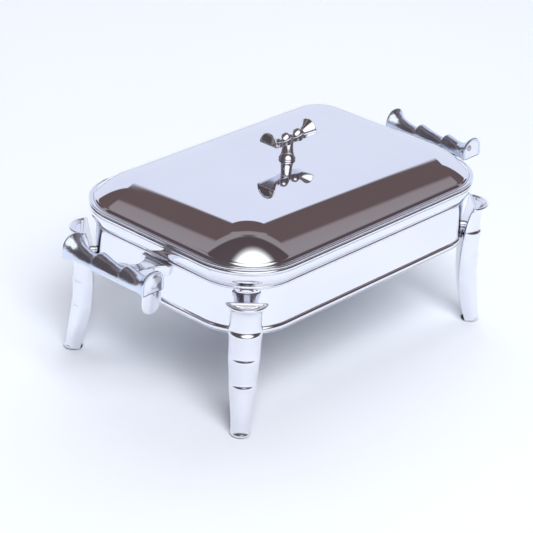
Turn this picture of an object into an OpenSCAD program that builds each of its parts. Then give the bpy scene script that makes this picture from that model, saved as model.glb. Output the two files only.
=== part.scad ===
// Electric buffet server: a rectangular covered food warmer on four bamboo-shaped legs.
// Millimetres, +Z up. The origin is on the table, under the middle of the casing.
// +X runs along the long side, -Y is the plain long face, +Y carries the controls.

/* [Casing] */
// Length of the casing wall along X
body_l = 400; // [380:2:430]
// Width of the casing wall along Y
body_w = 264; // [256:2:284]
// Corner radius of the casing wall in plan
corner_r = 61; // [59:0.5:63]
// Height of the underside of the casing above the table
base_z = 109.4; // [104:0.2:116]
// Height of the plain wall between the lower and the upper moulding
wall_h = 49.2; // [48:0.2:54]
// Thickness of the steel sheet of the casing
sheet_t = 1.2; // [1:0.1:1.4]

/* [Lid] */
// Rise of the lid from its edge bead to its flat top
lid_rise = 32.8; // [32.4:0.1:35]
// Radius of the upper, gentle part of the lid shoulder
shoulder_r = 73; // [71:1:74]
// Radius of the tight turn at the foot of the lid shoulder
edge_r = 8; // [7.5:0.1:8.5]
// Thickness of the lid sheet
lid_t = 1.2; // [1:0.1:1.4]
// Length of the bamboo bar on the lid
lid_bar_l = 66; // [62:1:72]
// Height of the post between the lid and its bar
lid_post_h = 19.6; // [18:0.2:24]

/* [Pans] */
// Depth of the water pan below its flange
water_depth = 52; // [50:0.5:53]
// Depth of the food pan below its flange
food_depth = 41; // [38:0.5:43]
// Thickness of the pan sheet
pan_t = 1.0; // [0.8:0.1:1.2]

/* [Legs] */
// Half width of the collar at the top of a leg
collar_r = 23; // [22:0.5:24]
// Half width of a leg at its foot
foot_r = 11.2; // [10.5:0.1:12]

/* [Side handles] */
// Length of a side handle bar along Y
side_bar_l = 121; // [114:1:126]
// Radius of the flared ends of a side handle bar
side_lip_r = 15.6; // [15:0.1:16]
// Distance from the casing wall to the middle of the bar
side_reach = 65.9; // [62:0.1:70]

/* [Controls] */
// Diameter of the thermostat knob
knob_d = 34; // [30:1:36]
// Resting tilt of the rocker
rocker_tilt = 8; // [6:1:9]

/* [Hidden] */
$fn = 64;
cx = body_l/2 - corner_r;          // corner centres, shared by every ring and pan
cy = body_w/2 - corner_r;
wall_z = base_z + 2.4;             // bottom edge of the wall sheet
rim_z = wall_z + wall_h;           // top edge of the wall sheet
ledge_z = rim_z + 22.4;            // top of the ledge that carries the pans
bead_z = rim_z + 22;               // middle of the frame's top bead
lid_edge_z = rim_z + 25.2;         // underside of the lid's edge flange
lid_top = lid_edge_z + lid_rise;
lid_flat = corner_r - 1.5;         // how far inside the wall the lid's flat top ends
lid_slope = 20;                    // length of the straight part of the lid shoulder
turn = [0.6, 0.8];                 // sine and cosine of the straight part's slope
steep = [0.9962, 0.0872];          // sine and cosine of the slope at its foot
pan_in = 30;                       // water pan wall, inwards from the casing wall
food_in = 33;                      // food pan wall, inwards from the casing wall
ctl_z = base_z + 28.8;             // height of the control axis on the rear wall
rear = body_w/2;                   // outer face of the rear wall
knob_x = -120;
rocker_x = -55;
lamp_x = -25;
inlet_x = 115;
bar_z = rim_z + 12.5;              // axis of a side handle bar
bar_cut = 8.9;                     // flat underside of the bar, below its axis
cap_x = -6.4;                      // end plate screw, from the bar's axis towards the wall
cap_z = 4.8;                       // and above the axis
leg_top = base_z + 42.2;
screw_z = base_z + 13.4;           // height of the leg screws
back_r = 243;                      // radius of the curved back of a leg
back_z = 84*leg_top/151.6;         // height where that back bulges most
back_s = corner_r + 0.9;           // its nearest distance to the corner centre
spread_z = ledge_z - water_depth;  // top of the heat spreader, just under the water pan
steel = [0.80, 0.80, 0.84];
dark = [0.12, 0.12, 0.13];
alu = [0.72, 0.73, 0.75];
brass = [0.72, 0.60, 0.32];
ivory = [0.88, 0.86, 0.80];

// ---------- shared shapes ----------

// Rounded rectangle, o beyond the casing wall (negative: inside it)
module outline(o) {
  square([body_l + 2*o, 2*cy], center = true);
  square([2*cx, body_w + 2*o], center = true);
  for (x = [-cx, cx], y = [-cy, cy]) translate([x, y]) circle(r = corner_r + o, $fn = 96);
}

// Sweeps a profile round the casing: x of the profile is measured from the corner centre
module around() {
  for (k = [0:3])
    translate([(k == 0 || k == 3) ? cx : -cx, (k < 2) ? cy : -cy, 0])
      rotate([0, 0, 90*k]) rotate_extrude(angle = 90, $fn = 96) children();
  for (a = [0, 180])
    rotate([0, 0, a]) translate([cx, 0, 0]) rotate([90, 0, 0])
      linear_extrude(height = 2*cy, center = true) children();
  for (a = [90, 270])
    rotate([0, 0, a]) translate([cy, 0, 0]) rotate([90, 0, 0])
      linear_extrude(height = 2*cx, center = true) children();
}

// Part of a ring between two directions from its centre, less than a quarter turn apart
module arc_band(r, t, from, to) {
  intersection() {
    difference() { circle(r = r, $fn = 192); circle(r = r - t, $fn = 192); }
    polygon([[0, 0], 2*r*from, 2*r*(from + to), 2*r*to]);
  }
}

// Cylinder along Y, from y0 to y1
module rod_y(r, y0, y1) { translate([0, y0, 0]) rotate([-90, 0, 0]) cylinder(r = r, h = y1 - y0); }

// Places a child at the four corners: its +X axis points outwards along the diagonal
module at_corner(sx, sy) {
  translate([sx*cx, sy*cy, 0]) rotate([0, 0, atan2(sy, sx)]) children();
}

module at_corners() { for (sx = [-1, 1], sy = [-1, 1]) at_corner(sx, sy) children(); }

// Screw with a domed head, along +X: the head's underside is at x = 0, the shank runs to x = l
module screw(d, l, head_d, head_h) {
  rotate([0, 90, 0]) cylinder(d = d, h = l);
  difference() {
    intersection() {
      translate([-head_h, 0, 0]) rotate([0, 90, 0]) cylinder(d = head_d, h = head_h);
      translate([head_d*0.42, 0, 0]) sphere(r = head_h + head_d*0.42);
    }
    for (a = [0, 90]) rotate([a, 0, 0])
      translate([-head_h - 1, -head_d*0.32, -0.5]) cube([1 + head_h*0.45, head_d*0.64, 1]);
  }
}

// ---------- casing ----------

module casing_wall() {
  color(steel) difference() {
    translate([0, 0, wall_z]) linear_extrude(height = wall_h)
      difference() { outline(0); outline(-sheet_t); }
    at_corners() translate([corner_r - 5, 0, screw_z]) rotate([0, 90, 0])
      cylinder(d = 5.4, h = 10);
    for (s = [-1, 1], y = [-11, 11]) translate([s*(body_l/2 - 4), y, bolt_z])
      rotate([0, s*90, 0]) cylinder(d = 5.4, h = 8);
    translate([knob_x, 0, ctl_z]) rod_y(20, rear - 4, rear + 4);
    translate([rocker_x - 10.6, rear - 4, ctl_z - 7.1]) cube([21.2, 8, 14.2]);
    translate([lamp_x, 0, ctl_z]) rod_y(4.7, rear - 4, rear + 4);
    translate([inlet_x - 13.7, rear - 4, ctl_z - 10.2]) cube([27.4, 8, 20.4]);
    for (x = [-20, 20]) translate([inlet_x + x, 0, ctl_z]) rod_y(1.7, rear - 4, rear + 4);
  }
}

module frame_profile() {
  translate([corner_r, rim_z]) {
    translate([0.3, 2.3]) circle(r = 1.5);
    translate([-2, 1.5]) square([2.4, 1.6]);
    intersection() {
      translate([-12.35, 18.4]) difference() {
        circle(r = 20, $fn = 192);
        circle(r = 18.8, $fn = 192);
      }
      translate([-1, 3]) square([12, 16.6]);
    }
    translate([5.9, 22]) circle(r = 2.6);
    translate([-27, 21]) square([32, 1.4]);
    translate([-2.6, -3]) square([1.3, 25]);
  }
}

module top_frame() { color(steel) around() frame_profile(); }

module moulding_profile() {
  translate([corner_r, base_z]) {
    intersection() {
      translate([-1.1, 4]) circle(r = 3.7);
      translate([0, 0.4]) square([4, 8]);
    }
    translate([-10, 0]) square([11.9, 2.4]);
  }
}

module base_moulding() {
  color(steel) difference() {
    around() moulding_profile();
    base_screw_places() translate([0, 0, base_z - 1]) cylinder(d = 3.6, h = 4);
  }
}

module base_screw_places() {
  for (s = [-1, 1]) {
    for (x = [-90, 90]) translate([x, s*(body_w/2 - 6), 0]) children();
    for (y = [-45, 45]) translate([s*(body_l/2 - 6), y, 0]) children();
  }
}

module base_plate() {
  color(steel) difference() {
    translate([0, 0, base_z + 2.4]) linear_extrude(height = 1.2) outline(-1.6);
    base_screw_places() translate([0, 0, base_z + 1]) cylinder(d = 3.2, h = 4);
    for (x = [-125:50:125], s = [-1, 1])
      translate([x, s*(body_w/2 - 30), base_z]) linear_extrude(height = 6) {
        square([26, 5], center = true);
        for (e = [-13, 13]) translate([e, 0]) circle(d = 5);
      }
  }
}

module base_screws() {
  color(steel) base_screw_places() translate([0, 0, base_z]) rotate([0, -90, 0])
    screw(3, 7, 5.6, 1.8);
}

// ---------- legs ----------

// Bamboo outline of a leg: [height share, half width] from the foot up
leg_nodes = [0, 0.388, 0.574, 0.76, 1];
// Distance of the leg's axis from the corner centre at those heights
leg_axis = [83, 71.2, 66.4, 65.2, 68];

// One stretch of bamboo between two knuckles, as a half outline; v runs up its axis
function stretch(len, w0, w1, k0, k1) = [
  [0, 0], [w0 + k0, 0], [w0 + k0*0.96, 1.6], [w0 + k0*0.4, 3.6], [w0 - 0.2, 6.5],
  [w0 + (w1 - w0)*0.45 - 0.5, len*0.5], [w1 - 0.4, len - 7], [w1 + k1*0.35, len - 3.4],
  [w1 + k1*0.9, len - 1.2], [w1 + k1, len], [0, len]];

module leg_stretch(k, w0, w1, k0, k1) {
  z0 = leg_top*leg_nodes[k];
  z1 = leg_top*leg_nodes[k + 1];
  lean = atan2(leg_axis[k + 1] - leg_axis[k], z1 - z0);
  len = norm([leg_axis[k + 1] - leg_axis[k], z1 - z0]);
  pts = stretch(len, w0, w1, k0, k1);
  translate([leg_axis[k], 0, z0]) rotate([0, lean, 0]) {
    rotate_extrude() polygon(pts);
    rotate([90, 0, -90]) linear_extrude(height = 18)
      polygon(concat(pts, [for (i = [len(pts) - 1:-1:0]) [-pts[i][0], pts[i][1]]]));
  }
}

module leg(sx, sy) {
  at_corner(sx, sy) difference() {
    union() {
      intersection() {
        union() {
          leg_stretch(0, foot_r, 14.6, 0.6, 1.2);
          leg_stretch(1, 15, 17, 0.6, 1.4);
          leg_stretch(2, 17.4, 18.6, 1.2, 1.2);
          leg_stretch(3, 18.4, 18, 1.2, 1);
          translate([leg_axis[4] - 0.1, 0, leg_top - 8]) rotate_extrude()
            polygon([[0, 0], [18, 0], [18.6, 2.4], [20.2, 4], [collar_r - 0.7, 5.2],
              [collar_r, 6], [collar_r, 7.2], [collar_r - 0.8, 8], [collar_r - 3.4, 8],
              [collar_r - 4.2, 7.2], [0, 7.2]]);
        }
        translate([back_s + back_r, 0, back_z]) rotate([90, 0, 0])
          cylinder(r = back_r, h = 80, center = true, $fn = 360);
        translate([40, -40, 1.4]) cube([80, 80, leg_top]);
      }
      translate([corner_r, 0, screw_z]) rotate([0, 90, 0]) cylinder(d = 9, h = 8);
    }
    translate([corner_r - 1, 0, screw_z]) rotate([0, 90, 0]) cylinder(d = 5.2, h = 15);
    translate([leg_axis[4], 0, leg_top - 2.6]) cylinder(r = collar_r - 7, h = 4);
    translate([leg_axis[0] - 0.4, 0, 0]) cylinder(r = 4.1, h = 9);
  }
}

module leg_front_left() { color(steel) leg(-1, -1); }
module leg_front_right() { color(steel) leg(1, -1); }
module leg_rear_left() { color(steel) leg(-1, 1); }
module leg_rear_right() { color(steel) leg(1, 1); }

module foot_pads() {
  color(dark) at_corners() translate([leg_axis[0] - 0.4, 0, 0]) {
    cylinder(r = 9.4, h = 1.4);
    cylinder(r = 4, h = 8);
  }
}

// Curved stiffeners inside the corners, under the screw heads
module corner_plates() {
  color(steel) at_corners() translate([0, 0, base_z + 5]) difference() {
    rotate([0, 0, -24]) rotate_extrude(angle = 48, $fn = 96)
      translate([corner_r - sheet_t - 2.1, 0]) square([2, 34]);
    translate([corner_r - 6, 0, screw_z - base_z - 5]) rotate([0, 90, 0])
      cylinder(d = 5.4, h = 8);
  }
}

module leg_screws() {
  color(steel) at_corners() translate([corner_r - sheet_t - 2.4, 0, screw_z])
    screw(5, 14, 9, 3);
}

// ---------- side handles ----------

bolt_z = bar_z - 21.5;                 // height of the screws that hold a bracket to the wall

// One length of the bar from y0 to y1: the axis climbs from c0 to c1 above the flat
// underside, and the radius follows the shares in pts, [share of the length, radius]
module bar_length(y0, y1, c0, c1, pts) {
  run = norm([y1 - y0, c1 - c0]);
  translate([0, y0, c0 - bar_cut]) rotate([atan2(c1 - c0, y1 - y0), 0, 0]) rotate([-90, 0, 0])
    rotate_extrude() polygon([[0, 0], for (p = pts) [p[1], p[0]*run], [0, run]]);
}

// Bar with its axis along Y: three bamboo lengths between flared, arched ends
module side_bar() {
  h = side_bar_l/2;
  n = side_bar_l/6;
  taper = [[0, 9.6], [0.4, 9.8], [0.75, 11], [0.94, 12.6], [1, 12.8]];
  flare = [[0, 10.6], [0.3, 10.9], [0.6, 12], [0.85, 14], [0.95, side_lip_r], [1, side_lip_r]];
  difference() {
    intersection() {
      union() {
        bar_length(-n, n, 1.2, 3.4, taper);
        bar_length(n, h - 15, 1.2, 1.8, [[0, 9.6], [0.5, 9.8], [1, 10.7]]);
        bar_length(h - 16, h, 1.8, bar_cut, flare);
        bar_length(15 - h, -n, 1.8, 3.4, [[0, 10.6], [0.5, 11], [0.85, 12.6], [1, 12.8]]);
        mirror([0, 1, 0]) bar_length(h - 16, h, 1.8, bar_cut, flare);
        translate([0, 0, -bar_cut]) linear_extrude(height = bar_cut) for (e = [0, 180])
          rotate(e) polygon([[-10.6, h - 15], [-11.2, h - 9], [-12.4, h - 4.6], [-14, h - 2],
            [-14, h], [14, h], [14, h - 2], [12.4, h - 4.6], [11.2, h - 9], [10.6, h - 15]]);
        for (s = [-1, 1]) translate([-side_lip_r, s*(h - 1) - 1, -bar_cut])
          cube([2*side_lip_r, 2, bar_cut]);
        translate([-9.6, -h, -bar_cut]) cube([19.2, 2*h, 2.4]);
      }
      translate([-30, -h, -bar_cut]) cube([60, 2*h, 60]);
    }
    for (s = [-1, 1]) translate([0, s*(h - 1.5) - 2, 0]) {
      translate([-13.1, 0, -bar_cut - 1]) cube([26.2, 4, bar_cut + 1]);
      rod_y(13.1, 0, 4);
    }
    for (s = [-1, 1]) translate([cap_x, 0, cap_z]) rod_y(1.6, s*(h - 3) - 3, s*(h - 3) + 3);
    for (s = [-1, 1]) translate([0, 24*s, -bar_cut - 1]) cylinder(d = 4.2, h = 9);
  }
}

module side_place(s) {
  mirror([s < 0 ? 1 : 0, 0, 0]) translate([body_l/2 + side_reach, 0, bar_z]) children();
}

module side_handle_left() { color(steel) side_place(-1) side_bar(); }
module side_handle_right() { color(steel) side_place(1) side_bar(); }

// Cast bracket: a foot under the bar, a waisted arm and a pad on the wall
module bracket() {
  wall = -side_reach;                     // x of the wall face, seen from the bar's axis
  waist = wall + 23;
  difference() {
    union() {
      intersection() {
        rotate([90, 0, 0]) linear_extrude(height = 90, center = true) difference() {
          polygon([[7, -bar_cut], [-20, -bar_cut], [waist - 4, -15], [wall, -15.6],
            [wall, -27], [-8, -27], [-8, -13], [7, -13]]);
          translate([-8, -53]) circle(r = 40, $fn = 128);
        }
        translate([0, 0, -40]) linear_extrude(height = 40) union() {
          difference() {
            translate([wall, -38]) square([-wall - 13, 76]);
            for (s = [-1, 1]) translate([waist, 38*s]) circle(r = 30, $fn = 128);
            for (s = [-1, 1]) translate([waist - 15, 31*s]) square([30, 14], center = true);
          }
          translate([-14, -36]) square([14, 72]);
          for (s = [-1, 1]) translate([-3.5, 36*s]) circle(r = 9.5);
          translate([-3.5, -36]) square([9.5, 72]);
        }
      }
      translate([wall, 0, bolt_z - bar_z]) rotate([0, 90, 0]) linear_extrude(height = 3) {
        translate([-7.5, -21]) square([7.5, 42]);
        translate([-7.5, -13]) square([14, 26]);
        for (s = [-1, 1]) translate([-1.5, 13*s]) circle(r = 8);
      }
    }
    for (y = [-11, 11]) translate([wall - 1, y, bolt_z - bar_z]) rotate([0, 90, 0])
      cylinder(d = 4.2, h = 9);
    for (y = [-24, 24]) translate([0, y, -bar_cut - 8]) cylinder(d = 4.4, h = 9);
  }
}

module handle_bracket_left() { color(steel) side_place(-1) bracket(); }
module handle_bracket_right() { color(steel) side_place(1) bracket(); }

// Oval plates that close the flared ends and hang below them
// Flat plate that closes a flared bar end; low is how far it hangs below the axis
module end_plate(low) {
  difference() {
    translate([0, side_bar_l/2 - 0.4, 0]) rotate([90, 0, 0]) linear_extrude(height = 2.9)
      intersection() {
        union() {
          circle(r = 12.9);
          translate([-12.9, -20]) square([25.8, 20]);
          translate([0, -20]) circle(r = 12.9);
        }
        translate([-14, -low]) square([28, low + 14]);
      }
    translate([cap_x, 0, cap_z]) rod_y(1.6, side_bar_l/2 - 5, side_bar_l/2 + 1);
  }
}

module handle_end_caps() {
  color(steel) {
    side_place(-1) end_plate(bar_cut);
    for (m = [0, 1]) side_place(1) mirror([0, m, 0]) end_plate(bar_cut);
  }
}
module handle_drop_plate() { color(steel) side_place(-1) mirror([0, 1, 0]) end_plate(34); }

module end_cap_screws() {
  color(steel) for (s = [-1, 1], e = [-1, 1]) side_place(s) mirror([0, e < 0 ? 1 : 0, 0])
    translate([cap_x, side_bar_l/2 - 0.4, cap_z]) rotate([0, 0, -90]) screw(3, 5.5, 7, 1.6);
}

module backing_plates() {
  color(steel) for (s = [-1, 1]) mirror([s < 0 ? 1 : 0, 0, 0]) difference() {
    translate([body_l/2 - sheet_t - 2.1, -22, bolt_z - 5]) cube([2, 44, 10]);
    for (y = [-11, 11]) translate([body_l/2 - 6, y, bolt_z]) rotate([0, 90, 0])
      cylinder(d = 5.4, h = 8);
  }
}

module bracket_screws() {
  color(steel) for (s = [-1, 1], y = [-11, 11]) mirror([s < 0 ? 1 : 0, 0, 0])
    translate([body_l/2 - sheet_t - 2.2, y, bolt_z]) screw(4, 10.4, 7.6, 2.6);
}

module bar_screws() {
  color(steel) for (s = [-1, 1], y = [-24, 24]) side_place(s)
    translate([0, y, -13.1]) rotate([0, -90, 0]) screw(4, 11, 7, 2);
}

// ---------- pans ----------

// Pan with a rounded foot and a flat flange; in = wall inset, lip = flange inset
module pan(in, lip, top, depth) {
  foot = 12;
  around() translate([corner_r - in, 0]) {
    translate([-pan_t, top - depth + foot]) square([pan_t, depth - foot]);
    translate([-foot, top - depth + foot]) arc_band(foot, pan_t, [1, 0], [0, -1]);
    translate([-pan_t, top - pan_t]) square([in - lip + pan_t, pan_t]);
    translate([in - lip - 0.8, top - 0.8]) circle(r = 0.8);
  }
  translate([0, 0, top - depth]) linear_extrude(height = pan_t) outline(-in - foot);
}

module water_pan() { color(steel) pan(pan_in, 14, ledge_z + 1.6, water_depth + 1.2); }
module food_pan() { color(steel) pan(food_in, 16, ledge_z + 3.4, food_depth + 1.2); }

// ---------- lid ----------

module lid_profile() {
  a = corner_r - lid_flat;
  down = lid_slope*[turn[1], -turn[0]];
  p = [a, lid_top - shoulder_r] + shoulder_r*turn;
  q = p - edge_r*turn + down;
  e = q + edge_r*steep;
  translate([a, lid_top - shoulder_r]) arc_band(shoulder_r, lid_t, [0, 1], turn);
  polygon([p, p + down, p + down - lid_t*turn, p - lid_t*turn]);
  translate(q) arc_band(edge_r, lid_t, turn, steep);
  translate([e[0] - lid_t, lid_edge_z - 1.6]) square([lid_t, e[1] - lid_edge_z + 1.7]);
  translate([e[0] - lid_t, lid_edge_z]) square([corner_r + 7 - e[0] + lid_t, 1]);
  translate([corner_r + 7, lid_edge_z + 1.2]) circle(r = 1.3);
  translate([e[0] + 0.5, lid_edge_z + 1]) circle(r = 0.9);
}

module lid_cover() {
  color(steel) {
    around() lid_profile();
    difference() {
      translate([0, 0, lid_top - lid_t]) linear_extrude(height = lid_t)
        outline(-lid_flat);
      translate([0, 0, lid_top - 5]) cylinder(d = 5.4, h = 10);
    }
  }
}

module lid_handle_post() {
  color(steel) translate([0, 0, lid_top]) difference() {
    rotate_extrude() polygon([[0, 0], [8.6, 0], [9.6, 0.9], [9.8, 2.0], [9.4, 3.2],
      [8, 5.2], [7.2, 8], [6.7, 11], [6.3, 14.5], [6.2, lid_post_h - 0.1],
      [0, lid_post_h - 0.1]]);
    translate([0, 0, -1]) cylinder(d = 5.2, h = lid_post_h + 2);
  }
}

// Bamboo bar: a rod with two knots and flared half-round ends that rise
module lid_handle_bar() {
  h = lid_bar_l/2;
  knot = [[0, -9], [4, -9], [4.6, -6.6], [5.6, -3.8], [6.4, -1.4], [6.6, 0], [6.4, 1.4],
    [5.6, 3.8], [4.6, 6.6], [4, 9], [0, 9]];
  flare = [[0, 0], [3.3, 0], [5, 6.5], [5.7, 10], [6.8, 13.6], [9, 17.4], [12, 20.8],
    [13, 22], [13, 26], [0, 26]];
  color(steel) translate([0, 0, lid_top + lid_post_h]) difference() {
    intersection() {
      union() {
        translate([0, 0, 4.5]) rotate([0, 90, 0]) cylinder(r = 4.6, h = 30, center = true);
        for (x = [-4.5, 14.5]) translate([x, 0, 6.6]) rotate([0, 90, 0])
          rotate_extrude() polygon(knot);
        for (s = [0, 180]) rotate([0, 0, s]) translate([10, 0, 4.5]) rotate([0, 78, 0])
          rotate_extrude() polygon(flare);
        translate([0, 0, -1]) cylinder(r = 6.2, h = 6);
      }
      translate([-h, -20, 0]) cube([2*h, 40, 40]);
    }
    for (s = [0, 180]) rotate([0, 0, s]) translate([12, -20, 0]) rotate([0, -20, 0])
      translate([0, 0, -20]) cube([40, 40, 20]);
    translate([0, 0, -1]) cylinder(d = 5.2, h = 9);
  }
}

module lid_handle_screw() {
  color(steel) translate([0, 0, lid_top - lid_t - 1.7]) rotate([0, -90, 0])
    screw(5, lid_post_h + 9, 9, 3);
}

module lid_handle_washer() {
  color(dark) translate([0, 0, lid_top - lid_t - 1.6]) difference() {
    cylinder(d = 15, h = 1.5);
    translate([0, 0, -1]) cylinder(d = 5.3, h = 4);
  }
}

// ---------- heating ----------

el_z = spread_z - 6.6;      // axis of the tubular element
el_x = 100;                 // half size of its loop
el_y = 44;
el_r = 18;

module heating_element() {
  color(dark) translate([0, 0, el_z]) {
    for (sx = [-1, 1], sy = [-1, 1]) translate([sx*(el_x - el_r), sy*(el_y - el_r), 0])
      rotate([0, 0, sx > 0 ? (sy > 0 ? 0 : 270) : (sy > 0 ? 90 : 180)])
        rotate_extrude(angle = 90) translate([el_r, 0]) circle(r = 3.2, $fn = 24);
    for (s = [-1, 1]) {
      translate([s*el_x, 0, 0]) rod_y(3.2, el_r - el_y, el_y - el_r);
      translate([s > 0 ? 14 : el_r - el_x, el_y, 0]) rotate([0, 90, 0])
        cylinder(r = 3.2, h = el_x - el_r - 14);
      translate([s*14, el_y, 0]) sphere(r = 3.2);
      translate([s*14, 0, 0]) rod_y(3.2, el_y, 82);
      translate([s*14, 0, 0]) rod_y(1.5, 82, 90);
    }
    translate([el_r - el_x, -el_y, 0]) rotate([0, 90, 0])
      cylinder(r = 3.2, h = 2*(el_x - el_r));
  }
}

module element_clamps() {
  color(steel) for (x = [-50, 50], s = [-1, 1]) translate([x, s*el_y, el_z]) difference() {
    translate([-6, -8, -5]) cube([12, 16, 8.5]);
    translate([-10, 0, 0]) rotate([0, 90, 0]) cylinder(r = 3.4, h = 20);
    translate([-10, -1.4, -8]) cube([20, 2.8, 8]);
  }
}

module heat_spreader() {
  color(alu) translate([0, 0, spread_z - 3]) linear_extrude(height = 2.8) outline(-50);
}

module spreader_posts() {
  color(steel) for (x = [-1, 1], y = [-1, 1])
    translate([x*(body_l/2 - 66), y*(body_w/2 - 66), base_z + 3.6])
      cylinder(d = 9, h = spread_z - 3 - base_z - 3.7, $fn = 6);
}

module insulation_pad() {
  color(ivory) translate([-115, -56, base_z + 3.7]) cube([230, 112, 3.6]);
}

module reflector_tray() {
  color(alu) translate([0, 0, base_z + 7.4]) difference() {
    translate([-122, -62, 0]) cube([244, 124, 2.2]);
    translate([-121.2, -61.2, 0.8]) cube([242.4, 122.4, 6]);
  }
}

// ---------- controls ----------

// Cup sunk in the rear wall; the knob turns in it
module control_cup() {
  color(steel) translate([knob_x, 0, ctl_z]) difference() {
    union() {
      rod_y(19.7, rear - 8, rear + 0.2);
      rod_y(21, rear + 0.1, rear + 1.4);
    }
    rod_y(18.4, rear - 6.8, rear + 3);
    rod_y(4.6, rear - 10, rear);
    for (a = [-135:27:135]) rotate([0, a, 0]) translate([-0.5, rear + 0.9, 18.9])
      cube([1, 2, 1.5]);
  }
}

module thermostat_body() {
  color(ivory) translate([knob_x, 0, ctl_z]) difference() {
    union() {
      translate([-17, rear - 27, -14]) cube([34, 18.9, 28]);
      rod_y(4.4, rear - 9, rear - 3.4);
      for (x = [-10, 10]) translate([x - 3, rear - 18, -18]) cube([6, 0.8, 5]);
    }
    rod_y(3.06, rear - 20, rear);
  }
}

module thermostat_nut() {
  color(brass) translate([knob_x, rear - 6.7, ctl_z]) rotate([-90, 0, 0]) difference() {
    cylinder(d = 14, h = 2.6, $fn = 6);
    translate([0, 0, -1]) cylinder(r = 4.45, h = 6);
  }
}

module thermostat_shaft() {
  color(brass) translate([knob_x, 0, ctl_z]) rod_y(3, rear - 19.5, rear + 5);
}

module thermostat_knob() {
  color(dark) translate([knob_x, 0, ctl_z]) difference() {
    union() {
      translate([0, rear - 2.6, 0]) rotate([-90, 0, 0])
        cylinder(d1 = knob_d, d2 = knob_d - 1.6, h = 6);
      translate([0, rear + 3, 0]) rotate([-90, 0, 0]) intersection() {
        cylinder(d = knob_d - 4, h = 5.2);
        translate([-4.5, -20, 0]) cube([9, 40, 5.2]);
      }
    }
    rod_y(3.02, rear - 4, rear + 5.2);
    for (a = [0:15:345]) rotate([0, a, 0]) translate([knob_d/2 + 0.2, 0, 0])
      rod_y(1.1, rear - 3, rear + 4);
    translate([-0.6, rear + 7.6, 6]) cube([1.2, 2, 7]);
  }
}

// Sensing bulb clipped under the heat spreader, with its tube back to the thermostat
module sensor_bulb() {
  drop = 5;                  // the tube dips under the element
  color(brass) translate([0, 0, spread_z - 6.2]) {
    translate([-82, 0, 0]) rotate([0, 90, 0]) cylinder(r = 3, h = 60);
    translate([-82, 0, 0]) sphere(r = 3);
    translate([-84, 0, 0]) rotate([0, 90, 0]) cylinder(r = 1, h = 4);
    translate([-84, 0, 0]) sphere(r = 1);
    translate([0, 0, -drop]) {
      translate([-84, 0, 0]) cylinder(r = 1, h = drop);
      translate([-84, 0, 0]) sphere(r = 1);
      translate([-84, 0, 0]) rod_y(1, 0, 104);
      translate([-84, 104, 0]) sphere(r = 1);
      translate([knob_x + 8, 104, 0]) rotate([0, 90, 0]) cylinder(r = 1, h = -92 - knob_x);
      translate([knob_x + 8, 104, 0]) sphere(r = 1);
      translate([knob_x + 8, 104, 0]) cylinder(r = 1, h = 7);
    }
  }
}

module thermal_cutout() {
  color(dark) translate([60, 0, spread_z - 3.1]) mirror([0, 0, 1]) {
    cylinder(d = 16, h = 5);
    for (s = [-1, 1]) translate([s*10 - 3, -3, 1]) cube([6, 6, 0.8]);
    for (s = [-1, 1]) translate([s*8 - 2, -3, 1]) cube([4, 6, 0.8]);
  }
}

module terminal_block() {
  color(ivory) translate([40, 92, base_z + 3.7]) difference() {
    cube([36, 20, 14]);
    for (k = [0:2]) translate([6 + 12*k, 10, 5]) cylinder(d = 4, h = 12);
    for (k = [0:2]) translate([6 + 12*k, 0, 5]) rod_y(1.8, -1, 21);
  }
}

module power_inlet() {
  color(dark) translate([inlet_x, 0, ctl_z]) {
    difference() {
      union() {
        translate([-13.5, rear - 20, -10]) cube([27, 20.1, 20]);
        translate([0, rear + 0.1, 0]) rotate([-90, 0, 0]) linear_extrude(height = 2.4) {
          square([40, 22.4], center = true);
          for (x = [-20, 20]) translate([x, 0]) circle(r = 5);
        }
      }
      translate([-11.6, rear - 14, -8]) cube([23.2, 20, 16]);
      for (x = [-20, 20]) translate([x, 0, 0]) rod_y(1.75, rear - 1, rear + 4);
    }
    for (p = [[-7, -2], [7, -2], [0, 3]]) translate([p[0] - 1, rear - 14.1, p[1] - 2])
      cube([2, 9, 4]);
  }
}

module inlet_screws() {
  color(steel) for (x = [-20, 20]) translate([inlet_x + x, rear + 2.5, ctl_z])
    rotate([0, 0, -90]) screw(3.2, 9, 6, 1.8);
}

module switch_housing() {
  color(dark) translate([rocker_x, 0, ctl_z]) difference() {
    union() {
      translate([-10.4, rear - 18, -6.9]) cube([20.8, 18.1, 13.8]);
      translate([-12, rear + 0.1, -8.4]) cube([24, 1.4, 16.8]);
    }
    translate([-8.6, rear - 8, -5.6]) cube([17.2, 12, 11.2]);
    translate([-12, rear - 2.4, 0]) rotate([0, 90, 0]) cylinder(r = 1.05, h = 24);
  }
}

module rocker_pin() {
  color(steel) translate([rocker_x - 10, rear - 2.4, ctl_z]) rotate([0, 90, 0])
    cylinder(r = 1, h = 20);
}

module switch_rocker() {
  color(dark) translate([rocker_x, rear - 2.4, ctl_z]) rotate([-rocker_tilt, 0, 0])
    difference() {
      rotate([0, 90, 0]) linear_extrude(height = 16.4, center = true)
        polygon([[-4.9, 1.6], [-4.9, 5.4], [-4.3, 6], [0, 4.9], [4.3, 6], [4.9, 5.4],
          [4.9, 1.6], [2, -2], [-2, -2]]);
      translate([-12, 0, 0]) rotate([0, 90, 0]) cylinder(r = 1.06, h = 24);
    }
}

module pilot_lamp() {
  color([0.7, 0.1, 0.08]) translate([lamp_x, 0, ctl_z]) {
    rod_y(4.5, rear - 14, rear + 0.2);
    rod_y(5.8, rear + 0.1, rear + 1.3);
    intersection() {
      translate([0, rear - 1, 0]) sphere(r = 5.2);
      rod_y(4.6, rear + 1.2, rear + 6);
    }
  }
}

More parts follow.
